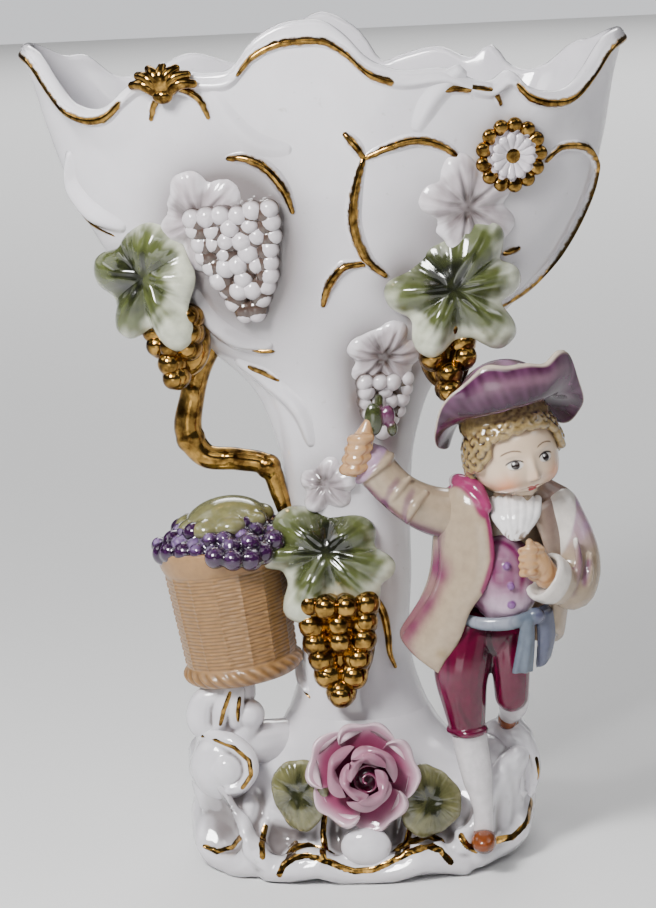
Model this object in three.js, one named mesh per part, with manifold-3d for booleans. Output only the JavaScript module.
/*
A figural porcelain vase.

A boat-shaped bowl with a scalloped rim stands on a slim hollow stem and a scrolled foot. Vine leaves,
grapes, a rose, a basket of grapes and a small boy in a tricorn hat are separate pieces of clay that
were joined to it before firing.

Millimetres, +Z up. The origin is on the vase's axis at the surface it stands on, the front is -Y and
the boy's side is +X.
*/
import * as THREE from 'three';
import Module from 'manifold-3d';
import { mergeVertices } from 'three/addons/utils/BufferGeometryUtils.js';

const wasm = await Module();
wasm.setup();

// Driving dimensions of the vessel
const HEIGHT = 217;
const BOWL_WIDTH = 151;
const MOUTH_DEPTH = 60;
const BOWL_SHIFT = -1.5;
const BOWL_START = 112;
const SHOULDER_HEIGHT = 185;
const STEM_WIDTH = 30;
const STEM_DEPTH = 28;
const WALL = 4;
const JOINT_HEIGHT = 34;
const JOINT_WIDTH = 40;
const JOINT_DEPTH = 35;

// Driving dimensions of the foot
const FOOT_WIDTH = 93;
const FOOT_DEPTH = 70;
const FRONT_EDGE = 6;
const END_EDGE = 27;
const END_RISE = [0.45, 0.92];
const END_WELL = 4;
const EDGE_ROLL = 2.5;
const SCALLOP = 0.8;
const SCALLOPS = 14;

// Driving dimensions of what is modelled on the vase
const BRANCH_RADIUS = 2.8;
const BASKET_HEIGHT = 36;
const BASKET_TOP = 85;
const BASKET_RADIUS = 17.4;
const BASKET_FOOT_RADIUS = 14.2;
const LEAF_RADIUS = 20;
const LEAF_THICKNESS = 2.4;
const RELIEF_THICKNESS = 2;
const BERRY_RADIUS = 3.3;
const RELIEF_BERRY_RADIUS = 2.9;
const ROSE_RADIUS = 13.8;
const PETALS = 5;
const PETAL_GAP = 0.8;
const BOY_STAND = new THREE.Vector3(32, -28, FRONT_EDGE + 1);

// Fits: clay meets clay with a hair's gap, and crumbs smaller than the tolerance are dropped
const CLEARANCE = 0.3;
const CUT_CLEARANCE = 0.45;
const TOLERANCE = 0.12;

// Counts of facets
const VESSEL_COLUMNS = 48;
const FOOT_COLUMNS = 42;
const LEAF_COLUMNS = 28;
const RELIEF_COLUMNS = 20;
const THIN_EDGE = 0.2;
const LIMB_SIDES = 6;
const LIMB_STEPS = 4;
const BLOB_FACETS = [8, 5];
const FINE_FACETS = [11, 7];

const v = (x, y, z) => new THREE.Vector3(x, y, z);
const { lerp, clamp, degToRad, smoothstep } = THREE.MathUtils;

/** A smooth curve through rows [t, value, ...]: the function gives the values at t. */
function throughRows(rows) {
  const last = rows.length - 1;
  const slope = (i, k) => {
    const before = rows[Math.max(i - 1, 0)];
    const after = rows[Math.min(i + 1, last)];
    return (after[k] - before[k]) / (after[0] - before[0]);
  };
  return (t) => {
    const x = clamp(t, rows[0][0], rows[last][0]);
    const i = Math.min(rows.findLastIndex((row) => row[0] <= x), last - 1);
    const span = rows[i + 1][0] - rows[i][0];
    const u = (x - rows[i][0]) / span;
    return rows[i].slice(1).map((value, j) => {
      const rise = rows[i + 1][j + 1] - value;
      const leave = slope(i, j + 1) * span;
      const arrive = slope(i + 1, j + 1) * span;
      return value + u * (leave + u * (3 * rise - 2 * leave - arrive + u * (leave + arrive - 2 * rise)));
    });
  };
}

// Closed solids

/** A solid from points and triangles, its faces turned outward whichever way they were listed. */
function solid(points, triangles) {
  const volume = triangles.reduce((sum, [a, b, c]) => (
    sum + points[a].dot(points[b].clone().cross(points[c]))), 0);
  const outward = volume < 0 ? ([a, b, c]) => [a, c, b] : (triangle) => triangle;
  return new wasm.Manifold(new wasm.Mesh({
    numProp: 3,
    vertProperties: Float32Array.from(points.flatMap((p) => [p.x, p.y, p.z])),
    triVerts: Uint32Array.from(triangles.flatMap(outward)),
  }));
}

/** A solid from one of three.js's closed geometries. */
function fromGeometry(geometry) {
  geometry.deleteAttribute('normal');
  geometry.deleteAttribute('uv');
  const merged = mergeVertices(geometry);
  return new wasm.Manifold(new wasm.Mesh({
    numProp: 3,
    vertProperties: merged.attributes.position.array,
    triVerts: Uint32Array.from(merged.index.array),
  }));
}

/** A skin through rings with equal counts of points, closed at both ends by a fan to a pole. */
function loft(rings, startPole = middle(rings[0]), endPole = middle(rings.at(-1))) {
  const n = rings[0].length;
  const points = [...rings.flat(), startPole, endPole];
  const triangles = [];
  for (let j = 0; j < n; j += 1) {
    const k = (j + 1) % n;
    for (let i = 0; i + 1 < rings.length; i += 1) {
      triangles.push([i * n + j, i * n + k, (i + 1) * n + k]);
      triangles.push([i * n + j, (i + 1) * n + k, (i + 1) * n + j]);
    }
    triangles.push([points.length - 2, k, j]);
    triangles.push([points.length - 1, (rings.length - 1) * n + j, (rings.length - 1) * n + k]);
  }
  return solid(points, triangles);
}

/** The mean point of a ring. */
function middle(ring) {
  return ring.reduce((sum, p) => sum.add(p), v(0, 0, 0)).divideScalar(ring.length);
}

/** A closed plate between two grids of points that face each other. */
function plate(front, back) {
  const rows = front.length;
  const columns = front[0].length;
  const index = (side, [i, j]) => (side * rows + i) * columns + j;
  const triangles = [];
  const quad = (a, b, c, d) => triangles.push([a, b, c], [a, c, d]);
  for (let i = 0; i + 1 < rows; i += 1) {
    for (let j = 0; j + 1 < columns; j += 1) {
      const corners = [[i, j], [i, j + 1], [i + 1, j + 1], [i + 1, j]];
      quad(...corners.map((corner) => index(0, corner)));
      quad(...corners.toReversed().map((corner) => index(1, corner)));
    }
  }
  const along = Array.from({ length: columns - 1 }, (_, j) => j);
  const down = Array.from({ length: rows - 1 }, (_, i) => i);
  const border = [
    ...along.map((j) => [0, j]),
    ...down.map((i) => [i, columns - 1]),
    ...along.map((j) => [rows - 1, columns - 1 - j]),
    ...down.map((i) => [rows - 1 - i, 0]),
  ];
  border.forEach((here, k) => {
    const next = border[(k + 1) % border.length];
    quad(index(0, next), index(0, here), index(1, here), index(1, next));
  });
  return solid([...front.flat(), ...back.flat()], triangles);
}

/** A rounded rod through points, with a radius at each, round at both ends. */
function limb(points, radii, { sides = LIMB_SIDES, steps = LIMB_STEPS, squash = 1 } = {}) {
  const path = new THREE.CatmullRomCurve3(points);
  const { tangents, normals, binormals } = path.computeFrenetFrames(steps);
  const radiusAt = throughRows(radii.map((radius, i) => [i / (radii.length - 1), radius]));
  const ring = (i, centre, radius) => Array.from({ length: sides }, (_, j) => {
    const angle = (2 * Math.PI * j) / sides;
    return centre.clone()
      .addScaledVector(normals[i], radius * Math.cos(angle))
      .addScaledVector(binormals[i], radius * squash * Math.sin(angle));
  });
  const rings = [];
  const shoulder = Math.SQRT1_2;
  for (let i = 0; i <= steps; i += 1) {
    const [radius] = radiusAt(i / steps);
    const centre = path.getPoint(i / steps);
    const pushed = (share) => centre.clone().addScaledVector(tangents[i], share * radius);
    if (i === 0) rings.push(ring(i, pushed(-shoulder), radius * shoulder));
    rings.push(ring(i, centre, radius));
    if (i === steps) rings.push(ring(i, pushed(shoulder), radius * shoulder));
  }
  const pole = (i, way) => path.getPoint(i / steps)
    .addScaledVector(tangents[i], way * radiusAt(i / steps)[0]);
  return loft(rings, pole(0, -1), pole(steps, 1));
}

/** An ellipsoid. */
function blob(centre, rx, ry, rz, facets = BLOB_FACETS) {
  const geometry = new THREE.SphereGeometry(1, ...facets);
  geometry.rotateX(Math.PI / 2).scale(rx, ry, rz).translate(centre.x, centre.y, centre.z);
  return fromGeometry(geometry);
}

/** A berry, or any small lump: an icosahedron stretched to its three radii. */
function berryAt(centre, rx, ry = rx, rz = rx) {
  const geometry = new THREE.IcosahedronGeometry(1);
  geometry.scale(rx, ry, rz).translate(centre.x, centre.y, centre.z);
  return fromGeometry(geometry);
}

/** Several solids joined into one. */
function joined(solids) {
  return solids.reduce((sum, next) => sum.add(next));
}

/** The placing of a flat piece: local Z faces out, local Y points up, turned by an angle about Z. */
function facing(origin, outward, turn = 0) {
  const z = outward.clone().normalize();
  const x = v(0, 0, 1).cross(z).normalize();
  const y = z.clone().cross(x);
  const basis = new THREE.Matrix4().makeBasis(x, y, z).setPosition(origin);
  return basis.multiply(new THREE.Matrix4().makeRotationZ(degToRad(turn)));
}

// The vessel wall

const PROFILE = throughRows([
  // height, half width, half depth, shift along x
  [JOINT_HEIGHT, JOINT_WIDTH / 2, JOINT_DEPTH / 2, 0],
  [49, STEM_WIDTH / 2, STEM_DEPTH / 2, 0],
  [75, STEM_WIDTH / 2 + 0.6, STEM_DEPTH / 2, 0],
  [95, STEM_WIDTH / 2 + 1.2, STEM_DEPTH / 2 + 0.5, 0],
  [BOWL_START, 18.8, 15.5, 0],
  [125, 24.5, 17.5, 0],
  [140, 41, 21.5, 0],
  [155, 55.5, 25, 0],
  [170, 64.5, 27.4, 0],
  [SHOULDER_HEIGHT, BOWL_WIDTH / 2 - 6, 28.8, BOWL_SHIFT / 2],
  [(SHOULDER_HEIGHT + HEIGHT) / 2 + 1, BOWL_WIDTH / 2 - 2, MOUTH_DEPTH / 2 - 0.4, BOWL_SHIFT],
  [HEIGHT, BOWL_WIDTH / 2 + 0.6, MOUTH_DEPTH / 2, BOWL_SHIFT],
]);

// Depth of the rim below the crest, against the share of the half width, from the left tip to the right
const FRONT_RIM = throughRows([
  [-1, 3.5], [-0.9, 12], [-0.8, 18.5], [-0.7, 18.5], [-0.6, 12.5], [-0.49, 10.5], [-0.3, 12],
  [-0.2, 4.5], [-0.05, 0], [0.05, 0.8], [0.16, 9], [0.25, 12.6], [0.45, 13.6], [0.57, 17],
  [0.63, 14.5], [0.75, 20.3], [0.84, 18.8], [0.92, 11], [1, 6.2],
]);
const BACK_RIM = throughRows([
  [-1, 3.5], [-0.86, 7.8], [-0.72, 13.8], [-0.5, 9], [-0.3, 12.5], [-0.17, 9.5], [-0.04, 0.2],
  [0.07, 2.6], [0.19, 13.6], [0.4, 10.3], [0.52, 13.2], [0.58, 10.4], [0.7, 17], [0.84, 10.6],
  [1, 6.2],
]);

/** Height of the rim at an angle about the axis, counted from +X toward the back. */
function rimHeight(angle) {
  const rim = Math.sin(angle) < 0 ? FRONT_RIM : BACK_RIM;
  return HEIGHT - rim(Math.cos(angle))[0];
}

/** A point of the wall at an angle and a height, moved in by an inset. */
function wallPoint(angle, z, inset = 0) {
  const [halfWidth, halfDepth, shift] = PROFILE(z);
  return v(
    shift + (halfWidth - inset) * Math.cos(angle),
    (halfDepth - inset) * Math.sin(angle),
    z,
  );
}

/** The outward direction of the wall at an angle and a height. */
function wallNormal(angle, z) {
  const step = 0.01;
  const along = wallPoint(angle + step, z).sub(wallPoint(angle - step, z));
  const up = wallPoint(angle, z + step).sub(wallPoint(angle, z - step));
  return along.cross(up).normalize();
}

/** The spot on the front of the wall at x and z: its point, lifted off the wall, and its direction. */
function onFront(x, z, lift = 0) {
  const [halfWidth, , shift] = PROFILE(z);
  const angle = -Math.acos(clamp((x - shift) / halfWidth, -0.98, 0.98));
  const normal = wallNormal(angle, z);
  return { point: wallPoint(angle, z).addScaledVector(normal, lift), normal };
}

/** One ring round the wall: share 0 is the joint and 1 the rim, which rises and falls with the angle. */
function wallRing(share, inset, rise = 0) {
  return Array.from({ length: VESSEL_COLUMNS }, (_, i) => {
    const angle = (2 * Math.PI * i) / VESSEL_COLUMNS;
    const even = lerp(JOINT_HEIGHT, HEIGHT, share);
    const under = (even - SHOULDER_HEIGHT) / (HEIGHT - SHOULDER_HEIGHT);
    const z = under > 0 ? lerp(SHOULDER_HEIGHT, rimHeight(angle), under) : even;
    return wallPoint(angle, z + rise, inset);
  });
}

/** The bowl and its hollow stem, with a closed bottom where the stem meets the foot. */
function vaseBody() {
  const shares = [0, 0.05, 0.1, 0.25, 0.4, 0.48, 0.55, 0.62, 0.7, 0.78, 0.86, 0.93, 1];
  const outside = shares.map((share) => wallRing(share, 0));
  const lip = wallRing(1, WALL / 2, WALL / 4);
  const inside = [1, 0.93, 0.78, 0.62, 0.48, 0.25].map((share) => wallRing(share, WALL));
  const bottom = wallRing(WALL / (HEIGHT - JOINT_HEIGHT), WALL);
  return loft([...outside, lip, ...inside, bottom]);
}

// The foot

/** A point of the foot's outline at an angle, drawn in to a share of its size. */
function footOutline(angle, share, z) {
  const fullness = 0.82;
  const bulge = (value) => Math.sign(value) * Math.abs(value) ** fullness;
  const wave = SCALLOP * Math.cos(SCALLOPS * angle);
  return v(
    share * (FOOT_WIDTH / 2 - SCALLOP + wave) * bulge(Math.cos(angle)),
    share * (FOOT_DEPTH / 2 - SCALLOP + wave) * bulge(Math.sin(angle)),
    z,
  );
}

/** How far the foot's edge has risen at an angle: 0 at the front and back, 1 at both ends. */
function endShare(angle) {
  return smoothstep(Math.abs(Math.cos(angle)), ...END_RISE);
}

function foot() {
  const angles = Array.from({ length: FOOT_COLUMNS }, (_, i) => (2 * Math.PI * i) / FOOT_COLUMNS);
  const seat = JOINT_HEIGHT - CLEARANCE;
  const edgeHeight = (angle) => lerp(FRONT_EDGE, END_EDGE, endShare(angle));
  const edge = (share, rise) => angles.map((angle) => (
    footOutline(angle, share, rise * edgeHeight(angle))));
  const slope = [0, 0.3, 0.65, 1].map((f) => angles.map((angle) => {
    const valley = edgeHeight(angle) - END_WELL * endShare(angle);
    const start = footOutline(angle, 0.86, valley);
    const end = wallPoint(angle, JOINT_HEIGHT).setZ(seat);
    const drawn = 1 - (1 - f) ** 1.5;
    return v(lerp(start.x, end.x, drawn), lerp(start.y, end.y, drawn), lerp(valley, seat, f ** 1.5));
  }));
  const roll = angles.map((angle) => footOutline(angle, 0.95, edgeHeight(angle) + EDGE_ROLL));
  const rim = loft([edge(0.96, 0), edge(1, 0.2), edge(0.97, 0.6), edge(0.99, 1), roll, ...slope]);
  return joined([rim, blob(v(-35.5, -12.5, 22.5), 7.5, 7.5, 11), blob(v(34.5, -7, 20), 8.5, 9, 11)]);
}

/** The two scrolls that carry the basket, on a waisted post that grows out of the foot. */
function scrollBracket() {
  const y = -8;
  const top = BASKET_TOP - BASKET_HEIGHT;
  const volute = (x, radius) => limb(
    [v(x, y - 5, top - radius + 1), v(x, y + 7, top - radius + 1)], [radius, radius], { steps: 2 });
  const post = limb([v(-38, y, END_EDGE - 4), v(-37, y, END_EDGE + 6), v(-33, y, top - 6)], [7, 4.6, 5]);
  return joined([post, volute(-38.5, 5.2), volute(-27.5, 5.2)]);
}

/** The snail-like scroll at the left end of the foot: a roll that winds round a knob. */
function footScrollLeft() {
  const roll = limb(
    [v(-40, -14.5, 34.5), v(-33, -19, 34.2), v(-27.6, -21, 29), v(-29.6, -22.4, 23.2),
      v(-33.2, -22.8, 22.2)],
    [2.6, 3.2, 2.9, 2.3, 1.8], { steps: 8 });
  return joined([roll, blob(v(-33.6, -18, 27), 7, 5.8, 7.4)]);
}

/** The rolled scroll along the top of the foot's right end, behind the boy. */
function footScrollRight() {
  const roll = limb(
    [v(46, -13.5, 12), v(46, -11.5, 20), v(43, -9, 27.5), v(34.5, -3.5, 29.5)],
    [2.2, 3, 3.4, 2.4], { steps: 6 });
  return joined([roll, blob(v(40, -7.5, 22), 5.5, 5.5, 7.5)]);
}

// Vine leaves, grapes and the other ornament

// Lobes of the leaves: direction from the top in degrees, clockwise from the front, reach and half width
const LEFT_LOBES = [[9, 0.67, 50], [95, 0.56, 34], [155, 1, 27], [-153, 0.83, 30], [-85, 0.87, 32]];
const RIGHT_LOBES = [[32, 1, 34], [82, 0.86, 28], [135, 0.98, 27], [-152, 0.88, 29], [-92, 0.83, 30]];
const MIDDLE_LOBES = [
  [-50, 0.82, 38], [-91, 0.93, 19], [-153, 0.97, 28], [136, 0.87, 27], [105, 0.88, 24], [52, 0.66, 34]];
const RELIEF_LOBES = [[-8, 0.95, 42], [64, 1, 38], [130, 0.85, 34], [-136, 0.9, 36], [-72, 0.95, 38]];
const ROUND_LOBES = [[0, 0.9, 60], [120, 0.86, 60], [-120, 0.86, 60]];

/** The lobes of a leaf turned clockwise by an angle. */
const turned = (lobes, turn) => lobes.map(([direction, ...shape]) => [direction + turn, ...shape]);

/** Reach of a leaf's edge at an angle from the top, as a share of its radius: its lobes smoothly joined. */
function leafReach(angle, lobes, base) {
  const union = 7;
  const sum = lobes.reduce((total, [direction, reach, width]) => {
    const away = Math.atan2(Math.sin(angle - degToRad(direction)), Math.cos(angle - degToRad(direction)));
    return total + (reach * Math.exp(-(Math.abs(away / degToRad(width)) ** 2.6))) ** union;
  }, base ** union);
  return sum ** (1 / union);
}

/** A lobed leaf plate: puffed over its middle ring, thin and drooping at its edge. */
function leafPlate(radius, { lobes, thickness = LEAF_THICKNESS, droop = 3.2, puff = 2.2, narrow = 1,
  columns = LEAF_COLUMNS, base = 0.52 }) {
  const ring = (share, side) => Array.from({ length: columns }, (_, i) => {
    const angle = (2 * Math.PI * i) / columns;
    const outline = leafReach(angle, lobes, base);
    const reach = share * radius * outline;
    const height = share === 1 ? -droop : puff * (outline - base + 0.3) - droop * share * share;
    const half = share === 1 ? THIN_EDGE * thickness : thickness / 2;
    return v(narrow * reach * Math.sin(angle), reach * Math.cos(angle), height + side * half);
  });
  const shares = [0.55, 1];
  const front = shares.map((share) => ring(share, 1));
  const back = shares.map((share) => ring(share, -1)).reverse();
  return loft([...front, ...back], v(0, 0, thickness / 2), v(0, 0, -thickness / 2));
}

/** A leaf on the front of the wall at x and z, carried by a boss of clay behind it. */
function vineLeaf(x, z, radius, lift, { outward = null, ...form }) {
  const seat = onFront(x, z, lift);
  const plate = leafPlate(radius, form).transform(facing(seat.point, outward ?? seat.normal).toArray());
  const root = onFront(x, z, -WALL / 2).point;
  const boss = limb([root, seat.point], [radius * 0.35, radius * 0.22], { sides: 5, steps: 1 });
  return plate.add(boss);
}

/** A bunch of grapes, wide at the top and narrow at the tip, its berries packed over a core. */
function bunch(centre, width, height, berry, outward, depth = width * 0.35, turn = 0) {
  const rows = Math.max(2, Math.round(height / (1.75 * berry)) - 1);
  const halfAt = (t) => (width / 2 - berry) * (1 - 0.85 * t ** 1.6);
  const solids = [blob(v(0, height * 0.08, -depth * 0.2), width * 0.42, height * 0.42, depth)];
  for (let row = 0; row <= rows; row += 1) {
    const t = row / rows;
    const half = halfAt(t);
    const count = Math.max(1, Math.round((2 * half) / (1.8 * berry)) + 1 - (row % 2));
    for (let i = 0; i < count; i += 1) {
      const share = count === 1 ? 0 : (2 * i) / (count - 1) - 1;
      const bulge = Math.sqrt(1 - (0.75 * share) ** 2) * (1 - 0.3 * t);
      const spot = v(share * half, height / 2 - berry - t * (height - 2 * berry), depth * bulge);
      solids.push(berryAt(spot, berry));
    }
  }
  return joined(solids).transform(facing(centre, outward, turn).toArray());
}

/** The flower medallion: a ring of petals round a domed centre. */
function daisy(spot, radius) {
  const petals = 9;
  const solids = [blob(v(0, 0, 0), radius * 0.55, radius * 0.55, 2.6)];
  for (let i = 0; i < petals; i += 1) {
    const angle = (2 * Math.PI * i) / petals;
    const petal = berryAt(v(radius * 0.68, 0, 0), radius * 0.34, radius * 0.26, 2.4);
    solids.push(petal.transform(new THREE.Matrix4().makeRotationZ(angle).toArray()));
  }
  return joined(solids).transform(facing(spot.point, spot.normal).toArray());
}

/** The shell on the left part of the rim: five ribs that fan out. */
function rimShell(spot) {
  const ribs = 5;
  const solids = Array.from({ length: ribs }, (_, i) => {
    const angle = degToRad(lerp(-62, 62, i / (ribs - 1)));
    const rib = berryAt(v(0, 4, 1), 1.8, 4.2, 2.2);
    return rib.transform(new THREE.Matrix4().makeRotationZ(-angle).toArray());
  });
  return joined(solids).transform(facing(spot.point, v(-0.25, -1, 0.1)).toArray());
}

// The branch and the basket

function branchHandle() {
  const high = wallPoint(Math.PI, 137, BRANCH_RADIUS);
  const low = wallPoint(Math.PI, 89, 1);
  const y = -5;
  return limb(
    [v(high.x, y, high.z), v(-38, y, 124), v(-40.3, y, 112.5), v(-36.5, y, 107.3), v(-27, y, 105.8),
      v(-20, y, 104), v(-17.8, y, 96), v(low.x, y, low.z)],
    [BRANCH_RADIUS + 0.6, BRANCH_RADIUS, BRANCH_RADIUS, BRANCH_RADIUS, BRANCH_RADIUS + 0.4],
    { steps: 16 },
  );
}

const BASKET_LEAN = degToRad(-7);
const BASKET_BASE = v(-(STEM_WIDTH / 2 + BASKET_FOOT_RADIUS), -6, BASKET_TOP - BASKET_HEIGHT);

/** Moves a solid from the basket's own axes to its leaning place beside the stem. */
function inBasket(piece) {
  const lean = new THREE.Matrix4().makeRotationY(BASKET_LEAN).setPosition(BASKET_BASE);
  return piece.transform(lean.toArray());
}

function basket() {
  const r = BASKET_RADIUS;
  const b = BASKET_FOOT_RADIUS;
  const profile = [
    [0, 0], [b, 0], [b + 1.2, 1.8], [b + 0.2, 3.8], [r - 1.4, BASKET_HEIGHT - 6],
    [r, BASKET_HEIGHT - 5], [r, BASKET_HEIGHT - 0.8], [r - 2, BASKET_HEIGHT],
    [r - 3.2, BASKET_HEIGHT - 1], [r - 4, BASKET_HEIGHT - 9], [0, BASKET_HEIGHT - 9],
  ].map(([x, y]) => new THREE.Vector2(x, y));
  return inBasket(fromGeometry(new THREE.LatheGeometry(profile, 20).rotateX(Math.PI / 2)));
}

/** The leaf mound in the middle of the basket. */
function basketLeaf() {
  return inBasket(blob(v(2.4, -0.4, BASKET_HEIGHT + 4.8), 11, 10.4, 7.2, FINE_FACETS));
}

/** Grapes heaped round the mound, more of them at the left and the front, over the rim. */
function basketGrapes() {
  const heap = [];
  const put = (count, radius, z, berry) => {
    for (let i = 0; i < count; i += 1) {
      const angle = (2 * Math.PI * i) / count;
      heap.push(berryAt(v(radius * Math.cos(angle), radius * Math.sin(angle), z), berry));
    }
  };
  put(15, BASKET_RADIUS - 2.4, BASKET_HEIGHT + 1.6, 3.5);
  put(11, BASKET_RADIUS - 5.6, BASKET_HEIGHT + 4.4, 3.5);
  const bed = new THREE.CylinderGeometry(BASKET_RADIUS - 4.6, BASKET_RADIUS - 6.5, 11, 12);
  heap.push(fromGeometry(bed.rotateX(Math.PI / 2).translate(0, 0, BASKET_HEIGHT - 1.5)));
  return inBasket(joined(heap));
}

// The rose

const ROSE_CENTRE = v(1.5, 4 - FOOT_DEPTH / 2, JOINT_HEIGHT - 6.5);
const ROSE_FACING = v(0, -0.96, 0.28);

/** A cupped petal: a plate that leaves the rose's base, opens outward and rises to its lip. */
function rosePetal(turn) {
  const across = 4;
  const along = [0.3, 0.5, 0.75, 1];
  const thickness = 1.6;
  const point = (u, side, level) => {
    const reach = ROSE_RADIUS * Math.sin((u * Math.PI) / 2) * (1 - 0.16 * side * side * u);
    const angle = side * (Math.PI / PETALS - PETAL_GAP / 2 / reach);
    const height = 7 * (1 - Math.cos((u * Math.PI) / 2)) - 4.5 + 0.8 * side;
    return v(reach * Math.sin(angle), reach * Math.cos(angle), height + level * thickness);
  };
  const sides = Array.from({ length: across + 1 }, (_, i) => (2 * i) / across - 1);
  const skin = (level) => along.map((u) => sides.map((side) => point(u, side, level)));
  return plate(skin(0), skin(1)).transform(facing(ROSE_CENTRE, ROSE_FACING, turn).toArray());
}

/** The tight bud in the middle of the rose, on the lump of clay that seats the flower. */
function roseCentre() {
  const bud = limb([v(0, 0, -12), v(0, 0, -4), v(0, 0, 3.5)], [6.5, 5, 4.6], { sides: 9, steps: 3 });
  return bud.transform(facing(ROSE_CENTRE, ROSE_FACING).toArray());
}

/** A round leaf beside the rose, on a peg of clay that runs back into the foot. */
function roseLeaf(centre, outward) {
  const plate = leafPlate(10.4, {
    lobes: ROUND_LOBES, thickness: RELIEF_THICKNESS, droop: 1.2, puff: 1.2, narrow: 0.86,
    columns: 16, base: 0.84 });
  const peg = limb([v(0, 0, 0), v(0, 0, -9)], [3, 3.6], { sides: 5, steps: 1 });
  return plate.add(peg).transform(facing(centre, outward).toArray());
}

// The boy, in axes of his own with the origin at his front shoe's sole

const at = (x, y, z) => v(x, y, z).add(BOY_STAND);

const RIGHT_SHOULDER = at(-3, 9, 83);
const LEFT_SHOULDER = at(22.5, 12, 82);
const RIGHT_CUFF = at(-23, 3.5, 99.5);
const LEFT_CUFF = at(21, -1.5, 69.5);
const FRONT_KNEE = at(-4, 4, 40);
const BACK_KNEE = at(9.6, 6, 40);

function frontShoe() {
  return blob(at(0, -2, 2.6), 3.6, 6, 3.6);
}

function frontStocking() {
  return limb([at(0, 1, 5), at(0, 1, 10), at(-2.4, 3.5, 21), at(-3.2, 4, 29)], [3, 2.9, 4.4, 4.2]);
}

function backStocking() {
  return limb([at(9.6, 8, 38), at(9, 15, 33), at(8.4, 20, 30)], [4.2, 4, 3]);
}

function backShoe() {
  return blob(at(8.4, 22.5, 24.5), 3, 3.4, 5.4);
}

function breeches() {
  const front = limb([at(-3.4, 4, 29), FRONT_KNEE, at(-1, 8, 54)], [4.8, 6.6, 8]);
  const back = limb([at(10, 6.5, 37), BACK_KNEE, at(8, 9, 54)], [5, 6.4, 8]);
  return joined([front, back, blob(at(3.5, 9, 54), 12, 8.5, 7)]);
}

const COAT_COLUMNS = 14;

function coat() {
  const chest = blob(at(8.5, 10, 71), 13.5, 8.5, 17, FINE_FACETS);
  const shoulders = limb([RIGHT_SHOULDER, at(9, 10.5, 87), LEFT_SHOULDER], [5.2, 6.5, 5.2]);
  const rightSkirt = limb([at(-6, 8, 78), at(-9, 7.5, 64), at(-12.5, 7, 51)], [6, 7, 4.6], { squash: 0.7 });
  const leftSkirt = limb([at(22, 12, 76), at(23, 13, 64), at(21, 14, 54)], [5.4, 6, 4.4], { squash: 0.8 });
  // height, left, right, front and back of the coat's back, from its hem to the collar
  const back = loft([
    [48.5, -12, 20, 12, 20.5], [58, -11.5, 21.5, 11, 21.4], [68, -9, 22.8, 11, 21.8],
    [78, -8, 24, 10, 21.4], [87, -5.5, 22.5, 8, 18.5], [92.5, -1.5, 17, 8, 15],
  ].map(([z, left, right, front, rear]) => Array.from({ length: COAT_COLUMNS }, (_, i) => {
    const angle = (2 * Math.PI * i) / COAT_COLUMNS;
    return at(
      lerp(left, right, (1 + Math.cos(angle)) / 2), lerp(front, rear, (1 + Math.sin(angle)) / 2), z);
  })));
  return joined([chest, shoulders, rightSkirt, leftSkirt, back]);
}

function waistcoat() {
  return blob(at(7, 3.4, 67), 9.2, 5.2, 13);
}

function cravat() {
  return joined([blob(at(10, -0.4, 82), 5.4, 3.6, 5.6), blob(at(9.6, -1.6, 76), 3.6, 2.6, 4.6)]);
}

function sash() {
  const band = limb([at(-1, -0.5, 58), at(8, -3, 58.5), at(17, 0, 56)], [3, 3.2, 3.2], { squash: 0.6 });
  const tail = limb(
    [at(15.5, -1.5, 57), at(16.5, -2.5, 50), at(16.2, -2, 44)], [3.6, 4, 3], { squash: 0.5 });
  return joined([band, tail]);
}

function rightSleeve() {
  return limb(
    [RIGHT_SHOULDER, at(-10, 6, 85), at(-17, 3.5, 91.5), RIGHT_CUFF], [5.6, 5.6, 4.8, 4.6], { steps: 6 });
}

function leftSleeve() {
  return limb(
    [LEFT_SHOULDER, at(29, 10, 72), at(29.5, 6, 66), LEFT_CUFF], [5.8, 5.8, 5.8, 5.2], { steps: 6 });
}

/** A fist: a palm with four fingers curled over it and a thumb. */
function fist(centre, reach) {
  const solids = [berryAt(centre, 4, 4.2, 5)];
  for (let i = 0; i < 4; i += 1) {
    const z = centre.z + lerp(3, -3.4, i / 3);
    solids.push(berryAt(v(centre.x + reach, centre.y - 3, z), 3.4, 1.7, 1.5));
  }
  return joined(solids);
}

function rightHand() {
  const palm = at(-27, 4, 105);
  const thumb = limb([palm, at(-24.6, 2.6, 110.5)], [2.2, 1.5], { steps: 2 });
  return joined([fist(palm, 1), thumb]);
}

function leftHand() {
  return fist(at(15, -4.4, 76), 1);
}

function sprig() {
  const stem = limb([at(-25, 2, 108), at(-23.4, 4.5, 114), at(-22.6, 8, 119)], [1.3, 1.4, 1.2]);
  return joined([stem, berryAt(at(-21.6, 3.6, 113.6), 2.4, 2.2, 3.4)]);
}

// The head's own axes: X to the boy's left, -Y along his look, Z up through the crown
const LOOK = v(Math.sin(degToRad(24)), -Math.cos(degToRad(24)), Math.sin(degToRad(-3))).normalize();
const HEAD_TILT = v(-Math.sin(degToRad(10)), 0, Math.cos(degToRad(10)));
const HEAD_UP = HEAD_TILT.addScaledVector(LOOK, -HEAD_TILT.dot(LOOK)).normalize();
const HEAD_FRAME = new THREE.Matrix4()
  .makeBasis(LOOK.clone().negate().cross(HEAD_UP), LOOK.clone().negate(), HEAD_UP)
  .setPosition(at(11.4, 6, 101));
const BROW = 11.4;
const HAT_TIP = degToRad(-14);

/** Moves a solid from the head's own axes to its place. */
function onHead(piece) {
  return piece.transform(HEAD_FRAME.toArray());
}

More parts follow.
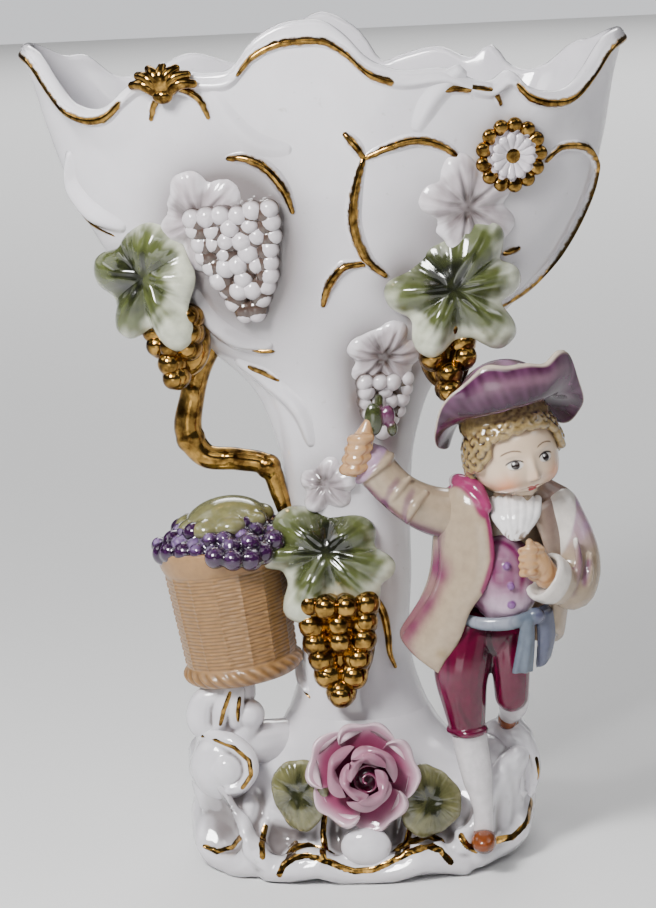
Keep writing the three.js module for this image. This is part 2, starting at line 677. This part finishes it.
function head() {
  const skull = blob(v(0, 0, 1), 11, 11, 12, FINE_FACETS);
  const cheeks = blob(v(0, -1.5, -3.4), 11.2, 9.6, 7);
  const nose = berryAt(v(0, -11, -2.6), 1.5, 1.8, 2);
  const neck = limb([at(9.4, 8.5, 84), at(10.6, 7.5, 93)], [4.6, 5], { steps: 2 });
  return joined([onHead(joined([skull, cheeks, nose])), neck]);
}

/** Curls down both sides and across the brow, over a cap of hair at the back. */
function hair() {
  const solids = [blob(v(0, 3.6, 1.6), 12.6, 9.8, 12.8, FINE_FACETS), blob(v(0, 1, 7.6), 12.2, 11.8, 7.4)];
  for (const side of [-1, 1]) {
    for (const [x, y, z] of [[9.8, -6, 8.2], [11.2, -3.6, 4], [11.8, -1.6, -0.4], [11.4, 0.5, -4.6]]) {
      solids.push(berryAt(v(side * x, y, z), 2.9));
    }
  }
  for (const x of [-6.4, -2.2, 2.2, 6.4]) {
    solids.push(berryAt(v(x, -9.8 + 0.05 * x * x, 9.8), 2.7));
  }
  return onHead(joined(solids));
}

/** The tricorn: a domed crown inside a brim that leaves the brow and turns up into three corners. */
function hat() {
  const band = 12.3;
  const thickness = 2.2;
  // angle from the look in degrees, clockwise from above, how far the edge leans out and how high it stands
  const brim = throughRows([
    [-180, 3.5, 3], [-150, 4, 0], [-125, 6, -6.5], [-108, 8.6, -9], [-90, 8.8, -5], [-72, 6.4, 2.5],
    [-52, 3, 9.4], [-32, 2.2, 11.4], [-10, 2.2, 10.8], [10, 2.8, 9.4], [24, 4.4, 8.8], [37, 6.4, 10.8],
    [46, 7, 9.5], [57, 7, 4], [72, 7.2, -1.5], [95, 6.8, -6.5], [115, 6.2, -8], [135, 5, -5],
    [158, 4, 0], [180, 3.5, 3],
  ]);
  const columns = 30;
  const ring = (share, side) => Array.from({ length: columns }, (_, i) => {
    const azimuth = 360 * (i / columns) - 180;
    const [lean, rise] = brim(azimuth);
    const steep = smoothstep(rise, 0, 9);
    const out = band + lean * share + side * (thickness / 2) * lerp(0.45, 1, steep);
    const up = rise * share - side * (thickness / 2) * lerp(1, 0.2, steep);
    return v(out * Math.sin(degToRad(azimuth)), -out * Math.cos(degToRad(azimuth)), up);
  });
  const sides = [ring(0, 1), ring(0.5, 1), ring(1, 1), ring(1, -1), ring(0.5, -1), ring(0, -1)];
  const crown = blob(v(0, 0.5, 0.6), 12.4, 12.2, 12.2, FINE_FACETS);
  const tipped = new THREE.Matrix4().makeRotationX(HAT_TIP).setPosition(0, 0.5, BROW);
  return onHead(joined([loft(sides), crown]).transform(tipped.toArray()));
}

// Putting the pieces together

const placed = [];
const figuralVase = new THREE.Group();

/** A copy of a solid with every vertex moved out along its normal. */
function grown(body, distance) {
  const { vertProperties, triVerts, numProp } = body.getMesh();
  const geometry = new THREE.BufferGeometry();
  const stride = (_, i) => vertProperties[Math.floor(i / 3) * numProp + (i % 3)];
  const positions = Float32Array.from({ length: (vertProperties.length / numProp) * 3 }, stride);
  geometry.setAttribute('position', new THREE.BufferAttribute(positions, 3));
  geometry.setIndex(new THREE.BufferAttribute(Uint32Array.from(triVerts), 1));
  geometry.computeVertexNormals();
  const moved = positions.map((value, i) => value + distance * geometry.attributes.normal.array[i]);
  return new wasm.Manifold(new wasm.Mesh({ numProp: 3, vertProperties: moved, triVerts }));
}

/** True when two solids' boxes come within the clearance of each other. */
function close(one, other) {
  const a = one.boundingBox();
  const b = other.boundingBox();
  return [0, 1, 2].every((i) => (
    a.min[i] < b.max[i] + 2 * CLEARANCE && b.min[i] < a.max[i] + 2 * CLEARANCE));
}

/** Adds a piece to a group, cut back to a hair's gap from every piece that was there before it. */
function place(group, name, body, colour, { roughness = 0.12, metalness = 0 } = {}) {
  const cut = placed
    .filter((other) => close(body, other))
    .reduce((rest, other) => rest.subtract(grown(other, CUT_CLEARANCE)), body);
  const piece = cut.simplify(TOLERANCE).decompose()
    .reduce((most, next) => (next.volume() > most.volume() ? next : most));
  placed.push(body);
  const { vertProperties, triVerts } = piece.getMesh();
  const geometry = new THREE.BufferGeometry();
  geometry.setAttribute('position', new THREE.BufferAttribute(vertProperties, 3));
  geometry.setIndex(new THREE.BufferAttribute(triVerts, 1));
  const mesh = new THREE.Mesh(
    geometry, new THREE.MeshStandardMaterial({ color: colour, roughness, metalness }));
  mesh.name = name;
  group.add(mesh);
}

const WHITE = '#ece9ee';
const GOLD = '#b48a35';
const LEAF_GREEN = '#a3a584';
const gilt = { roughness: 0.18, metalness: 1 };

function group(name) {
  const made = new THREE.Group();
  made.name = name;
  figuralVase.add(made);
  return made;
}

const vessel = group('vessel');
place(vessel, 'vase_body', vaseBody(), WHITE);
place(vessel, 'foot', foot(), WHITE);
place(vessel, 'foot_scroll_left', footScrollLeft(), WHITE);
place(vessel, 'foot_scroll_right', footScrollRight(), WHITE);
place(vessel, 'scroll_bracket', scrollBracket(), WHITE);
place(vessel, 'branch_handle', branchHandle(), GOLD, gilt);
place(vessel, 'rim_shell', rimShell(onFront(-BOWL_WIDTH / 4, HEIGHT - 13.5, 1.5)), GOLD, gilt);

const basketGroup = group('basket_of_grapes');
place(basketGroup, 'basket', basket(), '#d8b08c', { roughness: 0.35 });
place(basketGroup, 'basket_leaf', basketLeaf(), '#8d9361');
place(basketGroup, 'basket_grapes', basketGrapes(), '#6a4a86');

const vine = group('vine');
const LEFT_FACING = v(-0.42, -0.9, 0.05);
const RIGHT_FACING = v(0.15, -0.98, 0.12);
const STEM_FACING = v(-0.03, -0.95, 0.3);
place(vine, 'vine_leaf_left',
  vineLeaf(-45, 158, LEAF_RADIUS, 5.5, { outward: LEFT_FACING, lobes: LEFT_LOBES }), LEAF_GREEN);
place(vine, 'gilt_grapes_right',
  bunch(v(27.2, -20, 132.8), 16, 21, BERRY_RADIUS, RIGHT_FACING), GOLD, gilt);
place(vine, 'vine_leaf_right',
  vineLeaf(28.5, 152.5, LEAF_RADIUS, 6, { outward: RIGHT_FACING, lobes: RIGHT_LOBES }), LEAF_GREEN);
place(vine, 'vine_leaf_middle',
  vineLeaf(-4.2, 83.5, LEAF_RADIUS, 5, { outward: STEM_FACING, lobes: MIDDLE_LOBES }), LEAF_GREEN);
place(vine, 'gilt_grapes_left', bunch(v(-40, -13, 138.5), 18, 23, BERRY_RADIUS, LEFT_FACING), GOLD, gilt);
place(vine, 'gilt_grapes_middle',
  bunch(v(-3, -17, 58.5), 21, 31, BERRY_RADIUS, v(0, -1, 0.05), 5.5), GOLD, gilt);
place(vine, 'vine_tendril',
  limb([onFront(6, 70, 0.5).point, onFront(8.4, 62, 1.2).point, onFront(10, 51, 0.5).point],
    [1.1, 1.1, 0.9]),
  GOLD, gilt);

const relief = group('relief');
const reliefGrapes = (x, z, width, height, turn) => {
  const { point, normal } = onFront(x, z, 0.6);
  return bunch(point, width, height, RELIEF_BERRY_RADIUS, normal, 2.6, turn);
};
const reliefLeaf = (x, z, radius, turn) => (
  vineLeaf(x, z, radius, 0.8, { lobes: turned(RELIEF_LOBES, turn), thickness: RELIEF_THICKNESS,
    droop: 1.4, puff: 2.6, columns: RELIEF_COLUMNS }));
place(relief, 'relief_leaf_left', reliefLeaf(-32, 170.5, 14, 120), WHITE);
place(relief, 'relief_grapes_left', reliefGrapes(-22.3, 159.5, 24, 30, 4), WHITE);
place(relief, 'relief_grapes_stem', reliefGrapes(10.4, 121, 15, 18, 0), WHITE);
place(relief, 'relief_leaf_stem', reliefLeaf(11.6, 134, 11, 160), WHITE);
place(relief, 'relief_leaf_right', reliefLeaf(34, 171, 14, 60), WHITE);
place(relief, 'relief_leaf_low', reliefLeaf(-4.8, 100.5, 8.5, 150), WHITE);
place(relief, 'flower_medallion',
  daisy(onFront(BOWL_WIDTH / 2 - 30.8, SHOULDER_HEIGHT - 1.7, 0.4), 9.6), WHITE);

const rose = group('rose');
const ROSE_PINK = '#cf8fa5';
place(rose, 'rose_centre', roseCentre(), ROSE_PINK);
for (let i = 0; i < PETALS; i += 1) {
  place(rose, `rose_petal_${i + 1}`, rosePetal(-5 - (360 / PETALS) * i), ROSE_PINK);
}
place(rose, 'rose_leaf_left',
  roseLeaf(ROSE_CENTRE.clone().add(v(-16.4, 3, -5.2)), v(-0.4, -0.88, 0.25)), '#7d8260');
place(rose, 'rose_leaf_right',
  roseLeaf(ROSE_CENTRE.clone().add(v(17.3, 3.6, -8.2)), v(0.4, -0.88, 0.25)), '#7d8260');
place(rose, 'foot_boss', blob(v(2.2, 2.6 - FOOT_DEPTH / 2, FRONT_EDGE + 3.6), 7, 3.8, 5), WHITE);

const boy = group('boy');
const SKIN = '#e9cdb8';
const CREAM = '#e6dccb';
place(boy, 'boy_shoe_front', frontShoe(), '#8a5a3c');
place(boy, 'boy_stocking_front', frontStocking(), WHITE);
place(boy, 'boy_breeches', breeches(), '#8e1f55');
place(boy, 'boy_stocking_back', backStocking(), WHITE);
place(boy, 'boy_shoe_back', backShoe(), '#8a5a3c');
place(boy, 'boy_head', head(), SKIN);
place(boy, 'boy_cravat', cravat(), WHITE);
place(boy, 'boy_waistcoat', waistcoat(), '#d3a2c0');
place(boy, 'boy_right_hand', rightHand(), SKIN);
place(boy, 'boy_left_hand', leftHand(), SKIN);
place(boy, 'boy_left_sleeve', leftSleeve(), CREAM);
place(boy, 'boy_right_sleeve', rightSleeve(), CREAM);
place(boy, 'boy_sash', sash(), '#a9b4cc');
place(boy, 'boy_coat', coat(), CREAM);
place(boy, 'boy_hair', hair(), '#9a7a4c');
place(boy, 'boy_hat', hat(), '#8d4f86');
place(boy, 'vine_sprig', sprig(), '#6d5a3c');

export default figuralVase;
